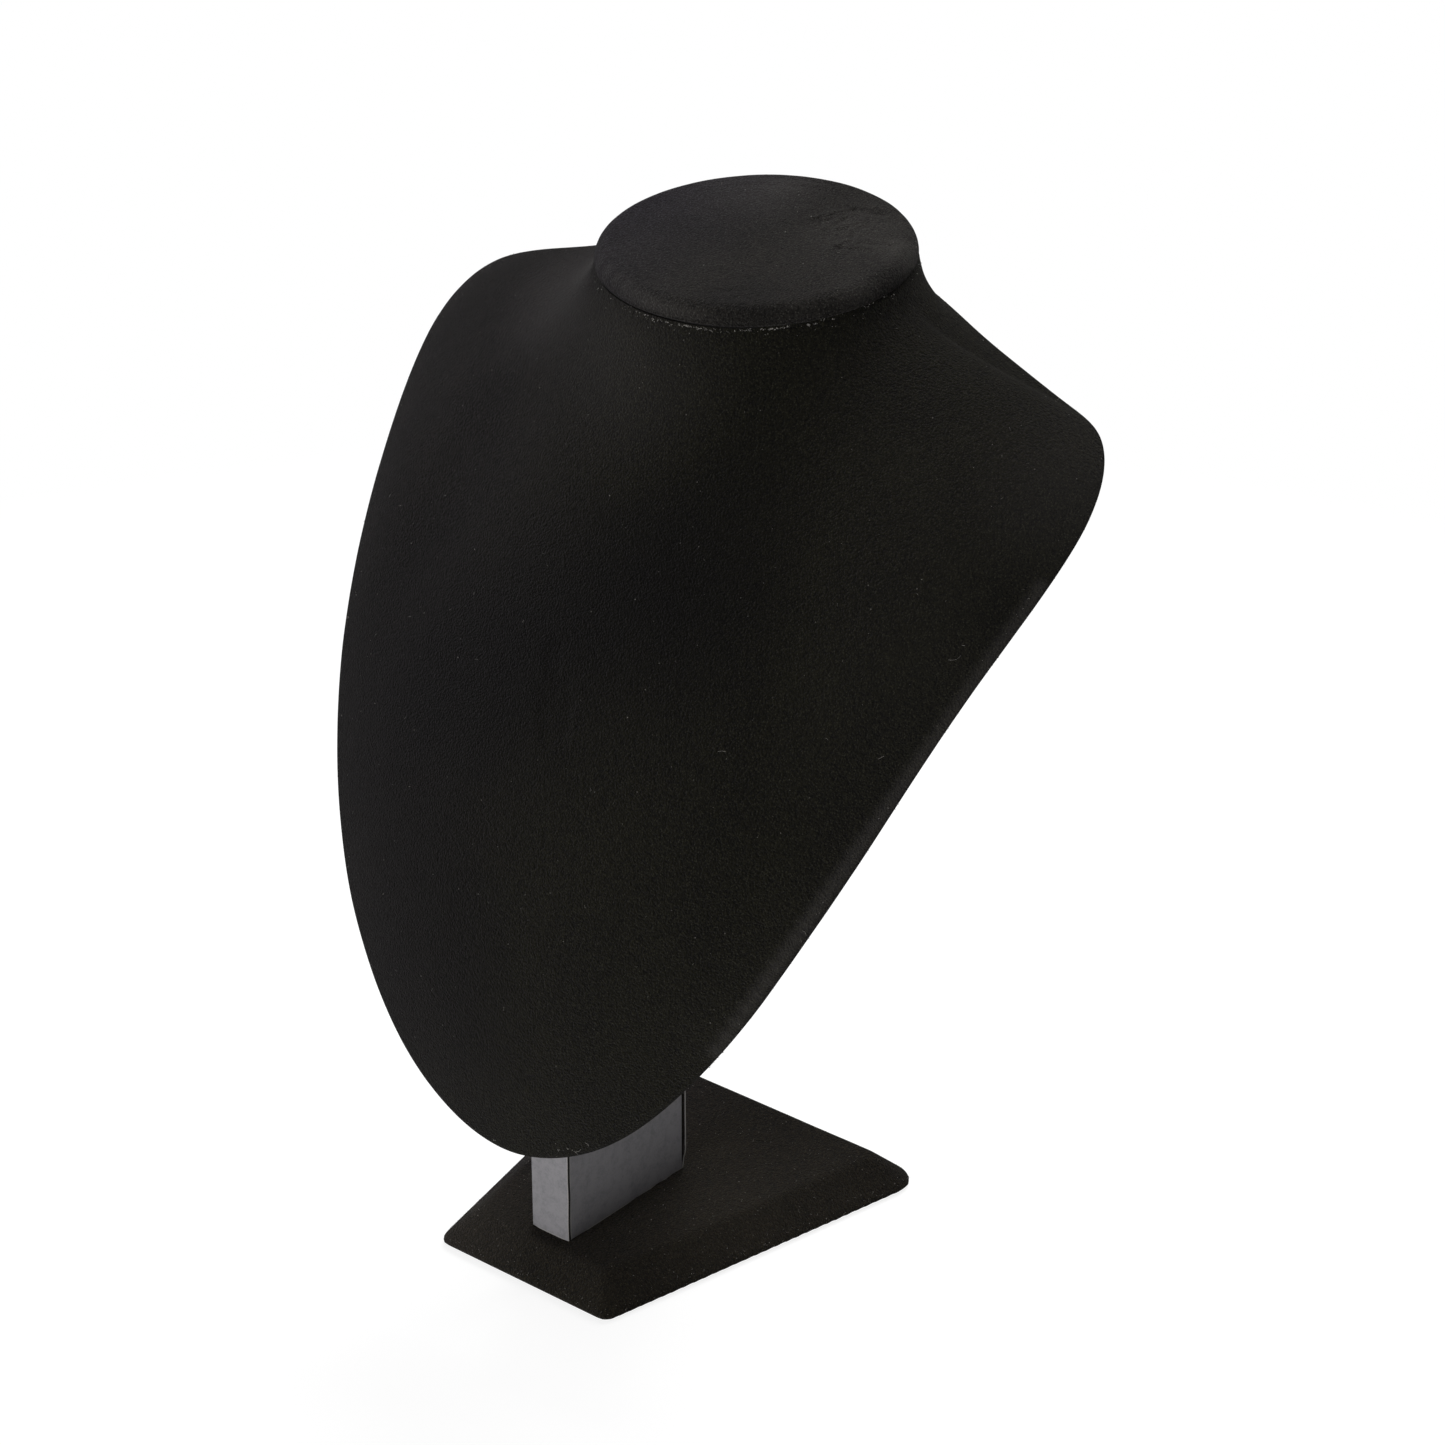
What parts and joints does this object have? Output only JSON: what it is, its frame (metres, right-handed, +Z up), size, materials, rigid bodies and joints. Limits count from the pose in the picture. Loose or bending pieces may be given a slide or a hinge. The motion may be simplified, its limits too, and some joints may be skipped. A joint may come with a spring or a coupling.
{
  "type": "necklace stand",
  "caption": "Neck and chest form in black velvet, open at the back, on a wrapped flat post and a bevelled tapering base, for showing a necklace.",
  "frame": {"origin": "middle of the underside of the base, on the plane of symmetry", "axes": "+Z up, the chest faces -Y, +X to the right seen from the front"},
  "size_m": [0.2748, 0.1825, 0.344],
  "materials": {
    "velvet": "short black pile",
    "wrap": "satin grey covering paper",
    "paper": "matt dark paper",
    "board": "fibreboard",
    "softwood": "planed softwood",
    "moulding": "matt dark moulding",
    "steel": "zinc plated"
  },
  "bodies": {
    "root": {"base_board": "board", "base_velvet": "velvet", "base_sheet": "paper", "base_screws": "steel", "post_board": "board", "post_wrap": "wrap", "left_glue_block": "softwood", "right_glue_block": "softwood", "bust_shell": "moulding", "bust_screws": "steel", "bust_velvet": "velvet", "cap_board": "board", "cap_velvet": "velvet"}
  },
  "joints": []
}
